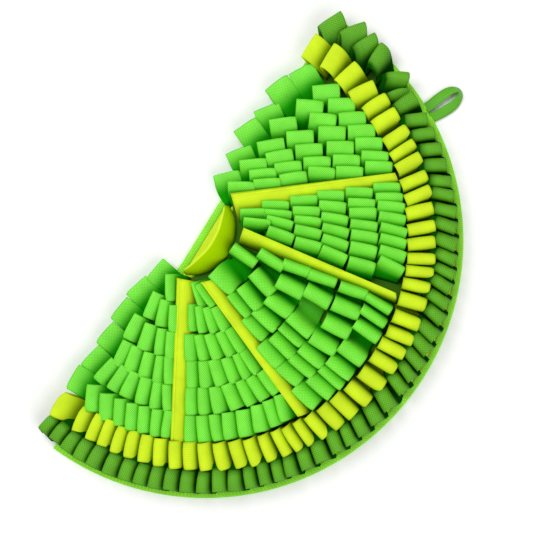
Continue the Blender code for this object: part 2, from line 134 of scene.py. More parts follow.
# Rind and pith: each loop's turn, and how the loops stand at some turns along the ring
RIND_FOOT = 237.9
RIND_TURNS = (-1.9, 3.6, 7.2, 11.2, 17.9, 20.6, 23.8, 28.3, 32.3, 36.2, 40.2, 44.2, 47.2, 51.2,
              54.7, 58.6, 62.4, 65.6, 68.6, 72.6, 76, 80.5, 84, 88, 91.4, 94.9, 99.9, 104.4,
              108.8, 112.3, 115.8, 120.3, 124.3, 128.2, 131.2, 134.7, 138.2, 141.7, 145.7,
              149.2, 153.2, 157.2, 160.7, 164.2, 167.7, 171.7, 175.7, 179.2, 182.7, 185.9,
              189.6)
RIND = (Bend(-1.9, 248.5, 27, -48, 29), Bend(3.6, 253, 36, -44, 29), Bend(7.2, 249.5, 19, -37, 27),
        Bend(11.2, 247, -9, -32, 26), Bend(17.9, 246, 42, -24, 25), Bend(20.6, 238, 20, -20, 15),
        Bend(23.8, 236.5, 4, -18, 25), Bend(28.3, 236.5, 25, -14, 25), Bend(34, 235.5, 14, -8, 25),
        Bend(47, 234.5, 22, -4, 25), Bend(69, 233.5, 24, 0, 25), Bend(95, 232.5, 20, 4, 25),
        Bend(124, 232.5, 6, 12, 25), Bend(176, 235, 0, 26, 25), Bend(185.9, 233.5, 0, 26, 22),
        Bend(189.6, 233, 2, 26, 18))
PITH_FOOT = 212.7
PITH_TURNS = (-3.2, 2.9, 9.0, 14.7, 19.8, 24.1, 30, 33.8, 37.3, 42.7, 46.2, 50.7, 55.2, 59.3,
              63.6, 66.8, 70.6, 75, 80.5, 84.7, 88.8, 92.9, 98.4, 103.9, 108.8, 113.3, 117.8,
              121.7, 125, 128.2, 132.2, 136.2, 140.2, 144.7, 149.1, 153.1, 157.1, 161.1,
              165.1, 168.9, 172.6, 176.1, 179.6, 183.6, 190.8)
PITH = (Bend(-3.2, 217, 6, -50, 29), Bend(2.9, 218, 0, -42, 27.5), Bend(9.0, 215, 4, -35, 26),
        Bend(14.7, 213.5, 18, -28, 25), Bend(19.8, 213.5, 9, -24, 25), Bend(30, 213, -6, -16, 25),
        Bend(43, 212.7, -8, -8, 25), Bend(75, 212.7, 0, 0, 25), Bend(98, 212.7, -4, 4, 25),
        Bend(118, 212.7, -10, 10, 25), Bend(157, 212.7, -8, 20, 25),
        Bend(179, 212.7, -8, 28, 25), Bend(183.6, 214, -9, 36, 25.5),
        Bend(190.8, 217, -12, 59, 33))

# Segments 1 to 5, and in each the rows a to f, from the round edge in: the turns of the
# loops, the radius and the skew of the first and the last of them, and the loop that
# hangs over the straight edge, if the row has one
SEGMENTS = (
    Segment(-37, -38, (
        Row((34.2, 31.1, 26.8, 22.4, 17.8, 12.8, 6.5), 187, 191, 24, 50,
            Bend(-2.2, 193.2, 31, -68, 33)),
        Row((31.6, 27.8, 22.8, 17, 11.9, 5.7), 159, 169, 26, 56,
            Bend(-7.1, 170, 29, -68, 33)),
        Row((26.6, 22.1, 16, 10, 0.7), 134, 141, 32, 48, Bend(-6.6, 144, 42, -68, 29)),
        Row((21.1, 15.5, 8.2, 1.8), 108, 115, 29, 44, Bend(-12.2, 120, 35, -68, 33)),
        Row((13.5, 7.6, -1.3), 85, 91, 37, 56, Bend(-11.3, 95, 46, -68, 28)),
        Row((0.2,), 66, 66, 56, 56, Bend(-13.5, 69, 60, -66, 26)))),
    Segment(-36, -27, (
        Row((41, 44.2, 46.9, 50.5, 54.3, 57.5, 61.3, 65.4), 187, 185, 16, 15),
        Row((39.7, 43.8, 47.1, 51.8, 55.5, 60.3, 66.2), 159.5, 156, 17, 8),
        Row((37, 41.8, 47.4, 52.5, 57.7, 63.4), 132, 128, 19, 18),
        Row((34.2, 40.3, 45.9, 51.5, 59.1), 106, 102, 17, 15),
        Row((29.3, 36.2, 42, 51.8), 79, 76, 28, 26),
        Row((25.1, 36.4), 57, 55, 30, 26))),
    Segment(3, 38, (
        Row((78.6, 83.5, 88.2, 97, 103.6, 106.9, 111.5, 117.7), 181, 184, 9, -12),
        Row((76.9, 85, 93, 101, 107.8, 112.2, 118.6), 154, 157, -2, -18),
        Row((76.1, 85.8, 102.4, 108.2, 113.8, 121.6), 122, 131, 3, -15),
        Row((75.1, 88.6, 102.6, 114, 122.1), 94, 101, 1, -15),
        Row((74.3, 97.4, 114.8, 124.4), 69, 73, 20, -14),
        Row((79, 132.3), 42.4, 47, 20, -28))),
    Segment(34, 36, (
        Row((125.3, 128.7, 133, 138.1, 142.8, 146.5, 150.5, 154.6), 181, 186, 7, -6),
        Row((125.9, 130.7, 135.2, 140.1, 146.2, 150.5, 155.3), 154, 159, -13, -4),
        Row((130.2, 133.9, 139.2, 145.1, 150.4, 156.2), 129, 133, -12, -9),
        Row((134.1, 139.2, 146.7, 152.2, 159.1), 104, 107, -16, -14),
        Row((140.5, 147.5, 154.5, 160.6), 80, 78, -13, -12),
        Row((151.5, 159.3), 56.5, 56, -32, -27))),
    Segment(34, 38, (
        Row((161.3, 164.7, 168.7, 172.4, 176.1, 180.3, 185.5), 184, 193, -4, -34,
            Bend(192.5, 187.2, -12, 68, 31)),
        Row((163.3, 167.3, 172.2, 177.6, 181.9, 187.2), 160, 160, -13, 5,
            Bend(193.4, 160.2, 0, 68, 26)),
        Row((165.7, 169.6, 175.3, 181.6, 186.2), 134, 138, -15, -9,
            Bend(195.8, 134, -7, 68, 29)),
        Row((168.7, 173.9, 181.4, 190.5), 109, 112, -16, -14,
            Bend(200.1, 107.8, -11, 68, 28.5)),
        Row((172.7, 181.2, 189.9), 84, 83, -22, -16, Bend(205, 81, -9, 68, 27)),
        Row((188.2,), 60, 60, -42, -42, Bend(208.2, 57, -18, 66, 26)))),
)

WIDE_SEGMENT = 3  # its webbing looks wider

# Crest and foot of each divider at its inner and its outer end, as radius and turn
DIVIDERS = (
    Divider("divider_1", (52, -2), (39, 25), (198, 39.2), (199, 42.4), 5),
    Divider("divider_2", (40, 41.5), (34, 60), (195, 74.2), (198, 76.2), 5),
    Divider("divider_3", (42, 153), (40, 130), (196, 120.6), (199, 117.2), 6),
    Divider("divider_4", (46, 184), (42, 158), (200, 158), (199, 152.6), 7),
)
DIVIDER_RISE = 19.0  # height of the crest above its foot
DIVIDER_BULGE = 1.2  # how far the leaning face bows up between foot and crest
DIVIDER_CURVE = 0.5  # 1: it leaves its foot upright, 0: it leans evenly
DIVIDER_CROWDING = 1.3  # above 1, steps gather toward the foot
DIVIDER_SHOULDER = 4  # how short the fold at the crest is
DIVIDER_FOOT_LIGHT = 0.5  # its painted light at the foot, where it is half in shade
DIVIDER_ROWS = 40

# Pocket: seam on the panel and free rim above it, from right to left
POCKET_SEAM = ((41, -2), (33, -14), (17, -23), (-3, -26), (-21, -21), (-33, -11), (-39, 0))
POCKET_RIM = ((38.8, 0.4), (28, -3), (14, -6.6), (-3, -7.4), (-17, -4.6), (-29, -1.2), (-37, 2))
POCKET_HEIGHT = 14.5
POCKET_END_HEIGHT = 3.0
POCKET_SWELL = 0.7  # below 1, the rim rises sooner from its ends
POCKET_CURL = 1.15  # above 1, the rim draws in over the mouth
POCKET_THICK = 1.2
POCKET_STEPS = 60  # along the rim
POCKET_RISES = 16  # steps from the seam to the end of the rim's roll
ROLL_STEPS = 4  # the last of them, which make the roll
ROLL_TURN = 230.0  # degrees
ROLL_RADIUS = 1.3
POCKET_SPREAD = 40.0  # width that the fleece's pattern is laid over
POCKET_FACE_LIGHT = 0.35  # the face's painted light at the seam, and what is added up to the roll
POCKET_LIGHT_GROWTH = 0.1

# Hanging tab: out from the rim at its root, along it, mm
TAB_TURN = 28.8
TAB_PATH = ((-2, -5.4), (6, -6.4), (18, -8.2), (29, -8.6), (35.4, -5.4), (36, -1.4),
            (33, 2.4), (24, 5.6), (14, 6.3), (5, 6.1), (-2, 5.2))
TAB_FLAT_TILT = 19.0
TAB_TIP_TILT = 62.0
TAB_TIP_POWER = 9  # how short the tape's turn at the tip is
TAB_Z = 1.2  # height of the ribbon's lower edge, in its middle line
TAB_THICK = 0.9
TAB_STEPS = 72
TAB_ROWS = 4
CURVE_SAMPLES = 12  # points worked out between two given ones

# Binding and its stitches
BINDING_THICK = 0.5
BINDING_STEPS = 160
STITCH_INSET = 1.9  # from the binding's inner edge
STITCH_STEPS = 240
STITCH_PITCH = 1.5  # from stitch to stitch, in lengths of a stitch
THREAD_WIDTH = 0.55
THREAD_THICK = 0.35
THREAD_RISE = 0.28  # of the thread's middle above the panel
MERGE_GAP = 0.001  # points this near become one

# The felt has its own colour in an oval at the pocket and outside a circle at the rind's feet, and
# elsewhere painted shade under the loops: half sizes in metres, and as shares of them where the
# painted shade starts to fade and where it is gone
UNSHADED_FELT = (((0.044, 0.012), 1.15, 1.0), ((0.244, 0.244), 0.97, 1.0))

# Floor and lights, in metres.  The photo's upper left is the model's +X+Y side
FLOOR_HALF = 3.0
FLOOR_Z = -0.0005
KEY_PLACE, KEY_SIZE = (0.22, 0.8, 1.4), 1.0
FILL_PLACE, FILL_SIZE = (-0.3, -1.2, 1.2), 1.6
LIGHT_AIM = Vector((0, -0.1, 0))

# Camera: straight above, one pixel of the 533 is one millimetre at the panel
CAMERA_PLACE = Vector((9.5, -65.5, 1150.0))
CAMERA_ROLL = -58.5
CAMERA_SENSOR = 36.0
PHOTO_SPAN = 533.0
CAMERA_REACH = 20


def linear(code):
    """An sRGB hex colour as linear red, green and blue, and full opacity."""
    parts = (int(code[k:k + 2], 16) / 255 for k in (1, 3, 5))
    return (*(p / 12.92 if p <= 0.04045 else ((p + 0.055) / 1.055) ** 2.4 for p in parts), 1)


def spot(radius, turn):
    """A point in plan, from its radius and turn."""
    angle = math.radians(turn)
    return Vector((radius * math.cos(angle), -radius * math.sin(angle), 0.0))


def onward(turn):
    """The unit vector toward a greater turn."""
    angle = math.radians(turn)
    return Vector((-math.sin(angle), -math.cos(angle), 0.0))


def between(low, high, share):
    """The value at a share of the way from low to high."""
    return low + (high - low) * share


def curve_through(points, steps):
    """Even steps along a smooth curve through the points."""
    vectors = [Vector(point) for point in points]
    dense = []
    for index in range(len(vectors) - 1):
        before = vectors[max(index - 1, 0)]
        start, end = vectors[index], vectors[index + 1]
        after = vectors[min(index + 2, len(vectors) - 1)]
        for part in range(CURVE_SAMPLES):
            t = part / CURVE_SAMPLES
            dense.append(0.5 * (2 * start + (end - before) * t
                                + (2 * before - 5 * start + 4 * end - after) * t ** 2
                                + (3 * start - before - 3 * end + after) * t ** 3))
    dense.append(vectors[-1])
    lengths = [0.0]
    for index in range(1, len(dense)):
        lengths.append(lengths[-1] + (dense[index] - dense[index - 1]).length)
    result = []
    index = 1
    for step in range(steps + 1):
        target = lengths[-1] * step / steps
        while index < len(dense) - 1 and lengths[index] < target:
            index += 1
        run = lengths[index] - lengths[index - 1]
        share = (target - lengths[index - 1]) / run if run else 0.0
        result.append(dense[index - 1].lerp(dense[index], min(max(share, 0.0), 1.0)))
    return result


# --- materials ---

def add_node(tree, kind, inputs=None, **settings):
    """Add a node, set its values, and link or fill its inputs."""
    node = tree.nodes.new(kind)
    for name, value in settings.items():
        setattr(node, name, value)
    for key, source in (inputs or {}).items():
        if isinstance(source, bpy.types.NodeSocket):
            tree.links.new(source, node.inputs[key])
        else:
            node.inputs[key].default_value = source
    return node


def calc(tree, operation, first, second):
    """The result of a maths node on two sockets or numbers."""
    return add_node(tree, "ShaderNodeMath", {0: first, 1: second}, operation=operation).outputs[0]


def mix(tree, share, first, second, **settings):
    """The colour at a share of the way from the first to the second."""
    return add_node(tree, "ShaderNodeMix", {0: share, 6: first, 7: second},
                    data_type="RGBA", **settings).outputs[2]


def noise(tree, place, scale, detail=2.0):
    """A cloudy pattern from 0 to 1."""
    return add_node(tree, "ShaderNodeTexNoise", {
        "Vector": place, "Scale": scale, "Detail": detail}).outputs["Fac"]


def ramp(tree, share, positions, colours):
    """The colour at a share, from colours that stand at these positions."""
    node = add_node(tree, "ShaderNodeValToRGB", {"Fac": share})
    stops = node.color_ramp.elements
    for position in positions[1:-1]:
        stops.new(position)
    for stop, position, code in zip(stops, positions, colours):
        stop.position, stop.color = position, linear(code)
    return node.outputs["Color"]


def band_scale(period):
    """The Wave Texture's scale that gives bands this far apart: it has 20 radians a unit."""
    return 2 * math.pi / 20 / period


def blank_material(name, rough):
    """A new material with its node tree and its shader."""
    material = bpy.data.materials.new(name)
    material.use_nodes = True
    shader = material.node_tree.nodes["Principled BSDF"]
    shader.inputs["Roughness"].default_value = rough
    return material, material.node_tree, shader


def cloth_material(name, colours, weave, rough, relief, shade_colour=None):
    """Woven cloth: two crossed sets of threads along the piece's own flat UV map, in mm.

    colours are the woven pattern's shade, middle and light.  weave is the spacing of the
    threads across and along, 0 for none that show, and the angle of the ribs.  relief is
    how far they stand out.  The last colour, if given, is painted shade: the tone that folded
    cloth is painted near its seam, for the shade and bounced light between the folds.
    """
    if name in bpy.data.materials:
        return bpy.data.materials[name]
    material, tree, shader = blank_material(name, rough)
    shader.inputs["Specular IOR Level"].default_value = CLOTH_GLOSS

    across, along, angle = weave
    flat = add_node(tree, "ShaderNodeUVMap", uv_map=UV_NAME).outputs["UV"]
    turned = add_node(tree, "ShaderNodeMapping", {
        "Vector": flat, "Rotation": (0, 0, math.radians(angle))}).outputs["Vector"]
    threads = [add_node(tree, "ShaderNodeTexWave", {
        "Vector": turned, "Scale": band_scale(period), "Distortion": 0.6,
        "Detail": 1.0, "Detail Scale": 0.4}, wave_type="BANDS", bands_direction=direction,
        wave_profile="SIN").outputs["Fac"]
        for direction, period in (("X", across), ("Y", along)) if period]
    woven = threads[0]
    if len(threads) == 2:
        woven = calc(tree, "MULTIPLY", woven, threads[1])
    patches, fuzz = (noise(tree, flat, 1 / size) for size in (PATCH_SIZE, FUZZ_SIZE))

    tint, speck = (add_node(tree, "ShaderNodeMapRange", {
        "Value": cloud, "From Min": 0.3, "From Max": 0.7, "To Min": low, "To Max": high})
        .outputs[0] for cloud, low, high in ((patches, *PATCH_SHADES), (fuzz, *FUZZ_SHADES)))
    both = calc(tree, "MULTIPLY", tint, speck)
    cloth = mix(tree, 1.0, ramp(tree, woven, WEAVE_STOPS, colours), both, blend_type="MULTIPLY")
    # Painted shade: cloth low in its folds is painted toward the shade colour
    if shade_colour:
        lift = add_node(tree, "ShaderNodeAttribute", attribute_name=LIGHT_SHARE_NAME).outputs["Fac"]
        rise = add_node(tree, "ShaderNodeMapRange", {
            "Value": lift, "From Min": SHADED_UP_TO, "From Max": UNSHADED_FROM},
            interpolation_type="SMOOTHSTEP").outputs[0]
        cloth = mix(tree, rise, linear(shade_colour), cloth)
        # Down between the folds, the cloth has no open sky to mirror
        gloss = calc(tree, "MULTIPLY", rise, CLOTH_GLOSS)
        tree.links.new(gloss, shader.inputs["Specular IOR Level"])
    tree.links.new(cloth, shader.inputs["Base Color"])

    bump = add_node(tree, "ShaderNodeBump", {
        "Height": calc(tree, "ADD", woven, fuzz), "Strength": 0.5, "Distance": relief * MM})
    tree.links.new(bump.outputs["Normal"], shader.inputs["Normal"])
    return material


def webbing_green():
    """Polyester webbing: satin.  Its plain weave is drawn as slanted dots 1.5 mm apart to show."""
    # The last colour is painted shade, for the cloth low in its folds
    return cloth_material("bright green woven webbing", ("#62D420", "#76E834", "#92F854"),
                          (1.5, 1.5, 45), 0.42, 0.2, "#149C06")


def webbing_dark():
    """Coarser polyester webbing: less glossy, with its slanted dots drawn 1.8 mm apart."""
    # The last colour is painted shade, for the cloth low in its folds
    return cloth_material("dark green woven webbing", ("#4E9C08", "#5EAC10", "#74C01E"),
                          (1.8, 1.8, 45), 0.6, 0.25, "#0A4A03")


def tape_yellow():
    """Soft woven tape: matt, with fine lines along its length, drawn 1.7 mm apart."""
    # The last colour is painted shade, for the cloth low in its folds
    return cloth_material("yellow woven tape", ("#C6E40A", "#CAE80E", "#D0EE16"),
                          (1.7, 0, 0), 0.75, 0.03, "#7C9A06")


def tape_binding():
    """Knitted polyester binding: matt, and speckled by its stitches, drawn 1.8 mm apart."""
    return cloth_material("light green binding tape", ("#7EE218", "#94F028", "#AEF840"),
                          (1.8, 1.8, 30), 0.6, 0.25)


def fabric_pocket():
    """Polyester fleece: very even and matt, with painted shade on its face and a painted highlight
    along its hem.
    """
    return cloth_material("chartreuse pocket fleece", ("#D0EE1A", "#D6F424", "#DCFA30"),
                          (1.8, 1.8, 30), 0.8, 0.06, "#9CC804")


def tape_tab():
    """Grosgrain ribbon: satin, with fine ribs across it, drawn 1.4 mm apart."""
    return cloth_material("green tab ribbon", ("#409A02", "#4EAA06", "#68C018"),
                          (0, 1.4, 0), 0.5, 0.15)


def thread():
    """Polyester sewing thread: a little glossy, mottled by its twist about 1 mm apart."""
    name = "green sewing thread"
    if name in bpy.data.materials:
        return bpy.data.materials[name]
    material, tree, shader = blank_material(name, 0.45)
    place = add_node(tree, "ShaderNodeTexCoord").outputs["Object"]
    colour = ramp(tree, noise(tree, place, 900.0), (0, 1), ("#5CBE1E", "#B4F070"))
    tree.links.new(colour, shader.inputs["Base Color"])
    return material


def panel_felt():
    """Felt of the panel: very matt, mottled by fibres 1.5 mm and patches 22 mm apart, with painted
    shade in dark green under the loops.
    """
    name = "yellow-green panel felt"
    if name in bpy.data.materials:
        return bpy.data.materials[name]
    material, tree, shader = blank_material(name, 0.85)
    shader.inputs["Specular IOR Level"].default_value = 0.2
    place = add_node(tree, "ShaderNodeTexCoord").outputs["Object"]
    fibres = noise(tree, place, 700.0, 4.0)
    both = calc(tree, "ADD", fibres, noise(tree, place, 45.0))
    mottled = ramp(tree, calc(tree, "MULTIPLY", both, 0.5), (0.3, 0.7), ("#DCF028", "#E8FF3C"))
    # Painted shade: under the loops the felt is painted a dark green, for the shade there
    unshaded = []
    for half_sizes, start, full in UNSHADED_FELT:
        oval = add_node(tree, "ShaderNodeMapping", {
            "Vector": place, "Scale": (1 / half_sizes[0], 1 / half_sizes[1], 0)})
        away = add_node(tree, "ShaderNodeVectorMath", {0: oval.outputs["Vector"]},
                        operation="LENGTH").outputs["Value"]
        unshaded.append(add_node(tree, "ShaderNodeMapRange", {
            "Value": away, "From Min": start, "From Max": full},
            interpolation_type="SMOOTHSTEP").outputs[0])
    # The dark green is painted shade
    colour = mix(tree, calc(tree, "MAXIMUM", *unshaded), linear("#3C720A"), mottled)
    tree.links.new(colour, shader.inputs["Base Color"])
    bump = add_node(tree, "ShaderNodeBump", {
        "Height": fibres, "Strength": 0.5, "Distance": 0.3 * MM})
    tree.links.new(bump.outputs["Normal"], shader.inputs["Normal"])
    return material


# --- pieces ---

def new_object(name, data):
    """A linked object with this mesh, light or camera."""
    made = bpy.data.objects.new(name, data)
    bpy.context.collection.objects.link(made)
    return made


def finish_piece(name, bm, material, thick=None, nodes=(), smooth=True):
    """Turn a bmesh in mm into a piece in metres that rides on the mat."""
    bmesh.ops.scale(bm, vec=(MM, MM, MM), verts=bm.verts)
    for face in bm.faces:
        face.smooth = smooth
    mesh = bpy.data.meshes.new(name)
    bm.to_mesh(mesh)
    bm.free()
    mesh.materials.append(material)
    piece = new_object(name, mesh)
    if thick:
        solid = piece.modifiers.new("Cloth thickness", "SOLIDIFY")
        solid.thickness = thick * MM
        solid.offset = 0.0
    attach(piece, BODY)
    if nodes:
        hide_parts(*nodes)
    return piece


def crowded(share):
    """A share of the width, with the steps gathered toward both selvedges."""
    return 0.5 - 0.5 * math.cos(math.pi * share)


def folded_grid(columns, rows, place, width, lift=None):
    """A flat tape of columns by rows, each point moved to its folded place.

    place(column, row) gives the point, and the other function the painted light at it, from 0,
    full painted shade, at the seam to 1 at the crest.  The UV map holds the tape's flat place
    in mm: across its width, and along the middle of the folded tape.
    """
    bm = bmesh.new()
    bmesh.ops.create_grid(bm, x_segments=columns, y_segments=rows, size=1.0)
    flat = bm.loops.layers.uv.new(UV_NAME)
    light_layer = bm.verts.layers.float.new(LIGHT_SHARE_NAME)
    where = {}
    middles = {}
    for vert in bm.verts:
        column = round((vert.co.x + 1) / 2 * columns)
        row = round((vert.co.y + 1) / 2 * rows)
        where[vert] = (column, row)
        vert.co = place(column, row)
        vert[light_layer] = lift(column, row) if lift else 1.0
        if row == rows // 2:
            middles[column] = vert.co.copy()
    lengths = [0.0]
    for column in range(1, columns + 1):
        lengths.append(lengths[-1] + (middles[column] - middles[column - 1]).length)
    for face in bm.faces:
        for corner in face.loops:
            column, row = where[corner.vert]
            corner[flat].uv = ((crowded(row / rows) - 0.5) * width, lengths[column])
    return bm, lengths[-1]


# --- loops of webbing ---

class Fold:
    """Where each point of one loop lies."""

    def __init__(self, loop, droops, dice):
        self.loop = loop
        self.droops = droops
        self.wobble = Wobble(*(dice.uniform(-1, 1) for _ in range(len(Wobble._fields))))
        self.middles = self.midline([self.level(step) for step in range(HALF_STEPS + 1)])

    def angle(self, step):
        """Angle of the section's rounded box at a step: 0 at the foot, square at the crest."""
        return math.pi / 2 * (step / HALF_STEPS) ** STEP_CROWDING

    def level(self, step):
        """Share of the height at a step from the foot."""
        return math.sin(self.angle(step)) ** (2 / BOX_POWER)

    def axis(self, share):
        """Turn of the tube's own axis at a share of the height."""
        grown = AXIS_AT_FOOT + (1 - AXIS_AT_FOOT) * min(1.0, AXIS_GROWTH * share)
        return self.loop.turn + self.loop.skew * grown

    def lean(self, share):
        """Lean at a share of the height, in radians."""
        return math.radians(self.loop.lean * (LEAN_AT_FOOT + LEAN_GROWTH * share))

    def midline(self, levels):
        """The loop's middle at each level, worked down from its crest."""
        loop = self.loop
        plan = spot(loop.radius, loop.turn)
        plans = [plan]
        rises = [0.0]
        for k in range(LEAN_STEPS):
            share = 1 - (k + 0.5) / LEAN_STEPS
            lean = self.lean(share)
            step = loop.height / LEAN_STEPS
            plan = plan - onward(self.axis(share)) * (math.sin(lean) * step)
            plan = plan - spot((loop.radius - loop.foot_radius) / LEAN_STEPS, loop.turn)
            plans.append(plan)
            rises.append(math.cos(lean) * step)
        heights = [0.0]
        for rise in reversed(rises[1:]):
            heights.append(heights[-1] + rise)
        plans.reverse()
        result = []
        for level in levels:
            place = level * LEAN_STEPS
            low = min(int(place), LEAN_STEPS - 1)
            share = place - low
            point = plans[low].lerp(plans[low + 1], share)
            point.z = between(heights[low], heights[low + 1], share)
            result.append(point)
        return result

    def droop(self, share, across):
        """How far the tape has sunk at a share of the height."""
        end = self.droops[0 if across < 0 else 1]
        return (end.depth * abs(across) ** end.power * share ** 2 * self.loop.press
                * (1 + DROOP_VARIES * self.wobble.droop))

    def lift(self, step, across, openness):
        """Painted light at a point: how far up the loop it lies, from 0 at the seam to 1 at the
        full crest, less painted shade at a sunken end, and more where light reaches into an open
        gap.
        """
        share = self.level(min(step, 2 * HALF_STEPS - step))
        shade = self.droops[0 if across < 0 else 1].shade
        share -= shade * self.droop(share, across) / self.loop.height
        return between(share, 1.0, OPEN_LIGHT * openness)

    def point(self, step, across, before, after, width):
        """A point at a step of the whole loop, across from -1 (inner) to 1 (outer)."""
        side = -1 if step <= HALF_STEPS else 1
        rise = min(step, 2 * HALF_STEPS - step)
        share = self.level(rise)
        half = before if side < 0 else after
        wobble = self.wobble.inner if across < 0 else self.wobble.outer
        half *= 1 + WIDTH_VARIES * wobble * abs(across) * share
        offset = side * half * math.cos(self.angle(rise)) ** (2 / SIDE_POWER)
        offset *= 1 - WAIST * math.sin(math.pi * share)
        axis = self.axis(share) + TURN_VARIES * self.wobble.turn * share
        middle = self.middles[rise]
        droop = self.droop(share, across)
        lean = self.lean(share)
        point = middle + onward(axis) * (offset - droop * math.sin(lean))
        point += spot(across * width / 2, axis)
        point.z = CLOTH_Z + middle.z - droop * math.cos(lean)
        return point


def folds_of(loops, droops, dice, widest):
    """A strip's folds, their half widths before and after, and how open its gaps are."""
    folds = [Fold(loop, droops, dice) for loop in loops]
    gaps = []
    for first, second in zip(folds, folds[1:]):
        away = onward((first.loop.turn + second.loop.turn) / 2)
        gaps.append(abs((second.middles[0] - first.middles[0]).dot(away)))
    halves = [min(widest, LOOP_SHARE * gap) for gap in gaps]
    before = [min(halves[0], EDGE_HALF)] + halves
    after = halves + [min(halves[-1], EDGE_HALF)]
    openness = [min(max((gap - CLOSE_GAP) / (OPEN_GAP - CLOSE_GAP), 0.0), 1.0) for gap in gaps]
    return folds, before, after, [0.0, *openness, 0.0]


def make_loops(node, loops, droops, material, sizes, seed, tape_width=None):
    """One strip of tape, folded into its loops."""
    dice = random.Random(seed)
    tape_width = tape_width or sizes.tape_width
    width = tape_width / MM
    folds, before, after, openness = folds_of(loops, droops, dice, sizes.widest_half / MM)
    steps = 2 * HALF_STEPS + 1
    rows = sizes.across_segments

    def place(column, row):
        index, step = divmod(column, steps)
        across = 2 * crowded(row / rows) - 1
        return folds[index].point(step, across, before[index], after[index], width)

    # Painted light and shade of each point, from its height, its sunken ends and its open gaps
    def lift(column, row):
        index, step = divmod(column, steps)
        side = openness[index + 1 if step > HALF_STEPS else index]
        return folds[index].lift(step, 2 * crowded(row / rows) - 1, side)

    bm, length = folded_grid(len(folds) * steps - 1, rows, place, width, lift)
    piece = finish_piece(node + "_tape", bm, material, sizes.tape_thick / MM, (node,))


def along_bends(bends, turn):
    """The bend at a turn, between the given ones."""
    later = next((k for k in range(1, len(bends)) if bends[k].turn >= turn), len(bends) - 1)
    start, end = bends[later - 1], bends[later]
    share = min(max((turn - start.turn) / (end.turn - start.turn), 0.0), 1.0)
    return Bend(*(between(low, high, share) for low, high in zip(start, end)))


def varied(value, reach, dice):
    """A value, changed by up to reach either way."""
    return value + dice.uniform(-reach, reach)


def ring_loops(turns, bends, foot_radius, dice):
    """The loops of the rind or of the pith."""
    loops = []
    for turn in turns:
        bend = along_bends(bends, turn)
        loops.append(Loop(turn, varied(bend.radius, RING_JITTER.radius, dice), foot_radius,
                          varied(bend.skew, RING_JITTER.skew, dice),
                          varied(bend.lean, RING_JITTER.lean, dice),
                          varied(bend.height, RING_JITTER.height, dice),
                          min(max(turn / FREE_TURN, LEAST_PRESS), 1.0)))
    return loops


def row_loops(segment, row, height, dice):
    """The loops of one row of a segment, in the order of their turns."""
    loops = []
    last = max(len(row.turns) - 1, 1)
    for index, turn in enumerate(row.turns):
        share = index / last
        radius = varied(between(row.first_radius, row.last_radius, share),
                        ROW_JITTER.radius, dice)
        lean = between(segment.first_lean, segment.last_lean, share)
        back = math.degrees(CREST_SET_BACK * min(max(lean / USUAL_LEAN, -1), 1) / radius)
        skew = between(row.first_skew, row.last_skew, share)
        loops.append(Loop(turn - back, radius, radius, varied(skew, ROW_JITTER.skew, dice),
                          varied(lean, ROW_JITTER.lean, dice),
                          varied(height, ROW_JITTER.height, dice)))
    if row.edge:
        edge = row.edge
        loops.append(Loop(edge.turn, edge.radius, edge.radius, edge.skew, edge.lean, edge.height))
    return sorted(loops)


# --- properties and operators ---

class SnuffleMatSizes(bpy.types.PropertyGroup):
    """Sizes and counts that the pieces share"""

    tape_width: FloatProperty(
        name="Tape width", description="Width of the webbing and of the yellow tape",
        default=0.0268, min=0.01, max=0.05, unit="LENGTH")
    wide_width: FloatProperty(
        name="Wide width", description="Width of the third segment's webbing",
        default=0.0284, min=0.01, max=0.05, unit="LENGTH")
    tape_thick: FloatProperty(
        name="Tape thickness", description="Thickness of the webbing",
        default=0.0010, min=0.0005, max=0.003, unit="LENGTH")
    loop_height: FloatProperty(
        name="Loop height", description="Length of a green loop from its foot to its crest",
        default=0.026, min=0.01, max=0.05, unit="LENGTH")
    widest_half: FloatProperty(
        name="Widest half", description="Most that a loop opens to either side of its middle",
        default=0.0088, min=0.002, max=0.015, unit="LENGTH")
    across_segments: IntProperty(
        name="Segments across", description="Faces across the width of a tape",
        default=6, min=2, max=16)
    binding_reach: FloatProperty(
        name="Binding reach", description="How far the binding reaches in over the panel",
        default=0.0070, min=0.004, max=0.02, unit="LENGTH")
    stitch_length: FloatProperty(
        name="Stitch length", description="Length of one stitch",
        default=0.0026, min=0.001, max=0.006, unit="LENGTH")
    tab_width: FloatProperty(
        name="Tab width", description="Width of the hanging tab's ribbon",
        default=0.0101, min=0.005, max=0.03, unit="LENGTH")


class SnuffleMatStage(bpy.types.PropertyGroup):
    """Floor and lights"""

    floor_colour: FloatVectorProperty(
        name="Floor colour", description="Colour of the plain floor",
        default=linear("#FEFEFC")[:3], size=3, min=0.0, max=1.0, subtype="COLOR")
    key_power: FloatProperty(
        name="Key light", description="Power of the large soft light",
        default=18.0, min=0.0, unit="POWER")
    fill_power: FloatProperty(
        name="Fill light", description="Power of the light across from it",
        default=14.0, min=0.0, unit="POWER")
    sky_strength: FloatProperty(
        name="Sky strength", description="Even light from all round",
        default=0.36, min=0.0)


def outline(inset, steps):
    """The mat's outline moved in by inset, as points with the straight edge's kink last."""
    radius = MAT_RADIUS - inset
    slope = math.atan2(EDGE_LEFT_Y - EDGE_RIGHT_Y, MAT_RADIUS + EDGE_KINK_X)
    right_y = EDGE_RIGHT_Y - inset
    kink = Vector((EDGE_KINK_X + inset * math.tan(slope / 2), right_y))
    first = -math.degrees(math.asin(right_y / radius))
    away = Vector((-math.cos(slope), math.sin(slope)))
    along = -kink.dot(away) + math.sqrt(kink.dot(away) ** 2 + radius ** 2 - kink.length_squared)
    corner = kink + away * along
    last = 180 + math.degrees(math.asin(corner.y / radius))
    points = [spot(radius, between(first, last, step / steps)).to_2d()
              for step in range(steps + 1)]
    points.append(kink)
    return points


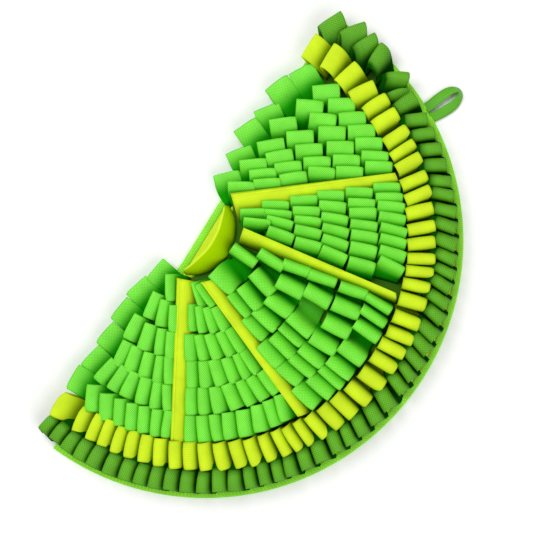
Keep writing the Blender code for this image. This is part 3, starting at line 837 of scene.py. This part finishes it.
class OBJECT_OT_snuffle_base(bpy.types.Operator):
    """Make the base panel's felt, its binding and the binding's stitches"""

    bl_idname = "object.snuffle_base"
    bl_label = "Base and Binding"

    def execute(self, context):
        sizes = context.scene.snuffle_mat_sizes
        self.make_panel()
        stitches = self.make_stitches(sizes)
        self.make_binding(sizes, stitches)
        return {"FINISHED"}

    def make_panel(self):
        """The felt is the CAD's own solid, in its finish."""
        node = bpy.data.objects[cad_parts["base_panel"].name]
        node.data.materials.clear()
        node.data.materials.append(panel_felt())

    def make_binding(self, sizes, stitches):
        """One tape, folded over the panel's edge all the way round."""
        reach = sizes.binding_reach / MM
        top = PANEL_THICK
        # Inset and height, from the lower leaf's inner edge round to the upper leaf's
        section = ((reach, 0.15), (1.2, 0.05), (0.35, 0.35), (0.05, 1.2), (0.05, top - 1.1),
                   (0.4, top - 0.25), (1.4, top + 0.1), (reach - 2.2, top + 0.25),
                   (reach - 0.8, top + 0.1), (reach, top - 0.05), (reach, top - 0.6))
        count = len(section)
        rings = [outline(inset, BINDING_STEPS) for inset, _ in section]
        around = len(rings[0])

        def place(column, row):
            point = rings[row][column % around]
            return Vector((point.x, point.y, section[row][1]))

        bm, length = folded_grid(around, count - 1, place, 2 * reach)
        bmesh.ops.remove_doubles(bm, verts=bm.verts, dist=MERGE_GAP)
        bmesh.ops.recalc_face_normals(bm, faces=bm.faces)
        piece = finish_piece("edge_binding_tape", bm, tape_binding(),
                             BINDING_THICK, ("edge_binding",))

    def make_stitches(self, sizes):
        """A row of short threads, sunk into the binding near its inner edge."""
        inset = sizes.binding_reach / MM - STITCH_INSET
        length = sizes.stitch_length / MM
        edge = [Vector((p.x, p.y, 0)) for p in outline(inset, STITCH_STEPS)]
        edge.append(edge[0])
        places = []
        left = length
        for start, end in zip(edge, edge[1:]):
            run = (end - start).length
            way = (end - start) / run
            while left < run:
                places.append((start + way * left, way))
                left += STITCH_PITCH * length
            left -= run
        bm = bmesh.new()
        for middle, way in places:
            middle.z = PANEL_THICK + THREAD_RISE
            made = bmesh.ops.create_cube(bm, size=1.0)["verts"]
            bmesh.ops.scale(bm, vec=(length, THREAD_WIDTH, THREAD_THICK), verts=made)
            turn = Vector((1, 0, 0)).rotation_difference(way).to_matrix()
            bmesh.ops.rotate(bm, cent=(0, 0, 0), matrix=turn, verts=made)
            bmesh.ops.translate(bm, vec=middle, verts=made)
        return finish_piece("binding_stitches", bm, thread(), smooth=False)


class OBJECT_OT_snuffle_tab(bpy.types.Operator):
    """Make the hanging tab: a ribbon bent into a drop, twisted up on its edge at the tip"""

    bl_idname = "object.snuffle_tab"
    bl_label = "Hanging Tab"

    def execute(self, context):
        sizes = context.scene.snuffle_mat_sizes
        width = sizes.tab_width / MM
        out, along = spot(1.0, TAB_TURN), onward(TAB_TURN)
        root = spot(MAT_RADIUS, TAB_TURN)
        path = curve_through(TAB_PATH, TAB_STEPS)

        def place(column, row):
            """A point of the ribbon, flat at its root and turned up on its edge at its tip."""
            before = path[max(column - 1, 0)]
            after = path[min(column + 1, TAB_STEPS)]
            heading = (out * (after.x - before.x) + along * (after.y - before.y)).normalized()
            side = Vector((heading.y, -heading.x, 0.0))
            share = math.sin(math.pi * column / TAB_STEPS) ** TAB_TIP_POWER
            tilt = math.radians(between(TAB_FLAT_TILT, TAB_TIP_TILT, share))
            reach = (row / TAB_ROWS - 0.5) * width
            middle = root + out * path[column].x + along * path[column].y
            middle.z = TAB_Z + abs(math.sin(tilt)) * width / 2
            return middle + (side * math.cos(tilt) + Vector((0, 0, math.sin(tilt)))) * reach

        bm, length = folded_grid(TAB_STEPS, TAB_ROWS, place, width)
        piece = finish_piece("hang_tab_ribbon", bm, tape_tab(), TAB_THICK,
                             ("hang_tab",))
        return {"FINISHED"}


class OBJECT_OT_snuffle_pocket(bpy.types.Operator):
    """Make the pocket: one skin from the seam up to a rolled rim"""

    bl_idname = "object.snuffle_pocket"
    bl_label = "Pocket"

    def execute(self, context):
        seam = curve_through(POCKET_SEAM, POCKET_STEPS)
        rim = curve_through(POCKET_RIM, POCKET_STEPS)
        face_rises = POCKET_RISES - ROLL_STEPS

        def place(column, row):
            """Rows go up the pocket's face and end in the rim's roll."""
            across = column / POCKET_STEPS
            swell = math.sin(math.pi * across) ** POCKET_SWELL
            height = between(POCKET_END_HEIGHT, POCKET_HEIGHT, swell)
            share = min(row / face_rises, 1.0)
            angle = share * math.pi / 2
            drawn = 1 - math.cos(angle) ** POCKET_CURL
            plan = seam[column].lerp(rim[column], drawn)
            inward = (rim[column] - seam[column]).normalized()
            point = Vector((plan.x, plan.y, CLOTH_Z + height * math.sin(angle)))
            rolled = max(row - face_rises, 0)
            if rolled:
                turn = rolled / ROLL_STEPS * math.radians(ROLL_TURN)
                point += Vector((inward.x, inward.y, 0)) * (ROLL_RADIUS * math.sin(turn))
                point.z -= ROLL_RADIUS * (1 - math.cos(turn))
            return point

        # Painted shade: the face is given its shade tone, and the roll at the rim its full colour,
        # a painted highlight
        def lift(column, row):
            if row >= face_rises:
                return 1.0
            return POCKET_FACE_LIGHT + POCKET_LIGHT_GROWTH * row / POCKET_RISES

        bm, length = folded_grid(POCKET_STEPS, POCKET_RISES, place, POCKET_SPREAD, lift)
        bmesh.ops.recalc_face_normals(bm, faces=bm.faces)
        piece = finish_piece("pocket_pouch", bm, fabric_pocket(),
                             POCKET_THICK, ("pocket",))
        area = sum(face.area for face in piece.data.polygons)
        length = length * MM
        return {"FINISHED"}


class OBJECT_OT_snuffle_rings(bpy.types.Operator):
    """Fold the dark green rind and the yellow pith along the round edge"""

    bl_idname = "object.snuffle_rings"
    bl_label = "Rind and Pith"

    def execute(self, context):
        sizes = context.scene.snuffle_mat_sizes
        dice = random.Random(RING_SEED)
        make_loops("rind_loops", ring_loops(RIND_TURNS, RIND, RIND_FOOT, dice), RIND_DROOP,
                   webbing_dark(), sizes, RIND_SEED)
        make_loops("pith_loops", ring_loops(PITH_TURNS, PITH, PITH_FOOT, dice), PITH_DROOP,
                   tape_yellow(), sizes, PITH_SEED)
        return {"FINISHED"}


class OBJECT_OT_snuffle_segments(bpy.types.Operator):
    """Fold the rows of bright green loops in the five segments"""

    bl_idname = "object.snuffle_segments"
    bl_label = "Segments"

    def execute(self, context):
        sizes = context.scene.snuffle_mat_sizes
        dice = random.Random(SEGMENT_SEED)
        seed = ROW_SEED
        for number, segment in enumerate(SEGMENTS, 1):
            width = sizes.wide_width if number == WIDE_SEGMENT else sizes.tape_width
            for letter, row in zip("abcdef", segment.rows):
                seed += 1
                make_loops(f"seg{number}_row_{letter}",
                           row_loops(segment, row, sizes.loop_height / MM, dice), ROW_DROOP,
                           webbing_green(), sizes, seed, width)
        return {"FINISHED"}


class OBJECT_OT_snuffle_dividers(bpy.types.Operator):
    """Make the four yellow dividers: tape folded double, leaning over its own seam"""

    bl_idname = "object.snuffle_dividers"
    bl_label = "Dividers"

    def execute(self, context):
        sizes = context.scene.snuffle_mat_sizes
        for divider in DIVIDERS:
            self.make_divider(divider, sizes)
        return {"FINISHED"}

    def make_divider(self, divider, sizes):
        """Columns go up one leaf, over the crest and down the other, and rows along it."""
        steps = 2 * HALF_STEPS
        crest_in, foot_in, crest_out, foot_out = (spot(*place) for place in divider[1:5])
        shares = [(k / HALF_STEPS) ** DIVIDER_CROWDING for k in range(HALF_STEPS + 1)]

        def place(column, row):
            along = row / DIVIDER_ROWS
            crest = crest_in.lerp(crest_out, along)
            foot = foot_in.lerp(foot_out, along)
            side = -1 if column <= HALF_STEPS else 1
            share = shares[min(column, steps - column)]
            lean_way = crest - foot
            reach = lean_way.length
            lean_way.normalize()
            height = math.sin(share * math.pi / 2) * DIVIDER_RISE
            curved = 1 - math.cos(share * math.pi / 2)
            middle = foot + lean_way * (reach * curved * DIVIDER_CURVE
                                        + reach * share * (1 - DIVIDER_CURVE))
            half = divider.width / 2 * (1 - share ** DIVIDER_SHOULDER) ** 0.5
            point = middle - lean_way * (side * half)
            point.z = CLOTH_Z + height + DIVIDER_BULGE * math.sin(math.pi * share)
            return point

        # Painted shade, deepest at the foot of each leaf
        def lift(column, row):
            return between(DIVIDER_FOOT_LIGHT, 1.0, shares[min(column, steps - column)])

        bm, girth = folded_grid(steps, DIVIDER_ROWS, place, 1.0, lift)
        length = (crest_out - crest_in).length
        # The grid's pattern runs across the strip, so it is turned to run along it
        flat = bm.loops.layers.uv[UV_NAME]
        for face in bm.faces:
            for corner in face.loops:
                share, along = corner[flat].uv
                corner[flat].uv = (along, (share + 0.5) * length)
        bmesh.ops.recalc_face_normals(bm, faces=bm.faces)
        piece = finish_piece(divider.name + "_strip", bm, tape_yellow(),
                             sizes.tape_thick / MM, (divider.name,))


class OBJECT_OT_snuffle_stage(bpy.types.Operator):
    """Lay the floor, and set the lights and the camera"""

    bl_idname = "object.snuffle_stage"
    bl_label = "Stage"

    def execute(self, context):
        stage = context.scene.snuffle_mat_stage
        self.lay_floor(stage)
        self.set_lights(context.scene, stage)
        self.set_camera(context.scene)
        context.scene.view_settings.view_transform = "Standard"
        return {"FINISHED"}

    def lay_floor(self, stage):
        bm = bmesh.new()
        bmesh.ops.create_grid(bm, x_segments=1, y_segments=1, size=FLOOR_HALF)
        mesh = bpy.data.meshes.new("floor")
        bm.to_mesh(mesh)
        bm.free()
        material, _, shader = blank_material("matt white floor", 0.9)
        shader.inputs["Base Color"].default_value = (*stage.floor_colour, 1)
        mesh.materials.append(material)
        floor = new_object("floor", mesh)
        floor.location.z = FLOOR_Z

    def set_lights(self, scene, stage):
        world = bpy.data.worlds.new("even white sky")
        world.use_nodes = True
        sky = world.node_tree.nodes["Background"]
        sky.inputs["Color"].default_value = (1, 1, 1, 1)
        sky.inputs["Strength"].default_value = stage.sky_strength
        scene.world = world
        for name, power, place, size in (
                ("key light", stage.key_power, KEY_PLACE, KEY_SIZE),
                ("fill light", stage.fill_power, FILL_PLACE, FILL_SIZE)):
            lamp = bpy.data.lights.new(name, "AREA")
            lamp.energy = power
            lamp.size = size
            made = new_object(name, lamp)
            made.location = place
            aim = LIGHT_AIM - made.location
            made.rotation_euler = aim.to_track_quat("-Z", "Y").to_euler()

    def set_camera(self, scene):
        lens = bpy.data.cameras.new("camera")
        lens.sensor_width = CAMERA_SENSOR
        lens.lens = CAMERA_SENSOR * CAMERA_PLACE.z / PHOTO_SPAN
        lens.clip_end = CAMERA_REACH
        camera = new_object("camera", lens)
        camera.location = CAMERA_PLACE * MM
        camera.rotation_euler = (0, 0, math.radians(CAMERA_ROLL))
        scene.camera = camera


OPERATORS = (OBJECT_OT_snuffle_stage, OBJECT_OT_snuffle_base, OBJECT_OT_snuffle_tab,
             OBJECT_OT_snuffle_pocket, OBJECT_OT_snuffle_rings, OBJECT_OT_snuffle_segments,
             OBJECT_OT_snuffle_dividers)


class VIEW3D_PT_snuffle_mat(bpy.types.Panel):
    """Sizes, stage and pieces of the snuffle mat"""

    bl_idname = "VIEW3D_PT_snuffle_mat"
    bl_label = "Snuffle Mat"
    bl_space_type = "VIEW_3D"
    bl_region_type = "UI"
    bl_category = "Snuffle Mat"

    def draw(self, context):
        layout = self.layout
        for group in (context.scene.snuffle_mat_sizes, context.scene.snuffle_mat_stage):
            box = layout.box()
            for name in group.__annotations__:
                box.prop(group, name)
        for operator in OPERATORS:
            layout.operator(operator.bl_idname)


CLASSES = (SnuffleMatSizes, SnuffleMatStage, *OPERATORS, VIEW3D_PT_snuffle_mat)


def register():
    for item in CLASSES:
        bpy.utils.register_class(item)
    bpy.types.Scene.snuffle_mat_sizes = PointerProperty(type=SnuffleMatSizes)
    bpy.types.Scene.snuffle_mat_stage = PointerProperty(type=SnuffleMatStage)


def unregister():
    del bpy.types.Scene.snuffle_mat_stage
    del bpy.types.Scene.snuffle_mat_sizes
    for item in reversed(CLASSES):
        bpy.utils.unregister_class(item)


def main():
    register()
    bpy.ops.object.snuffle_stage()
    bpy.ops.object.snuffle_base()
    bpy.ops.object.snuffle_tab()
    bpy.ops.object.snuffle_pocket()
    bpy.ops.object.snuffle_rings()
    bpy.ops.object.snuffle_segments()
    bpy.ops.object.snuffle_dividers()


if __name__ == "__main__":
    main()
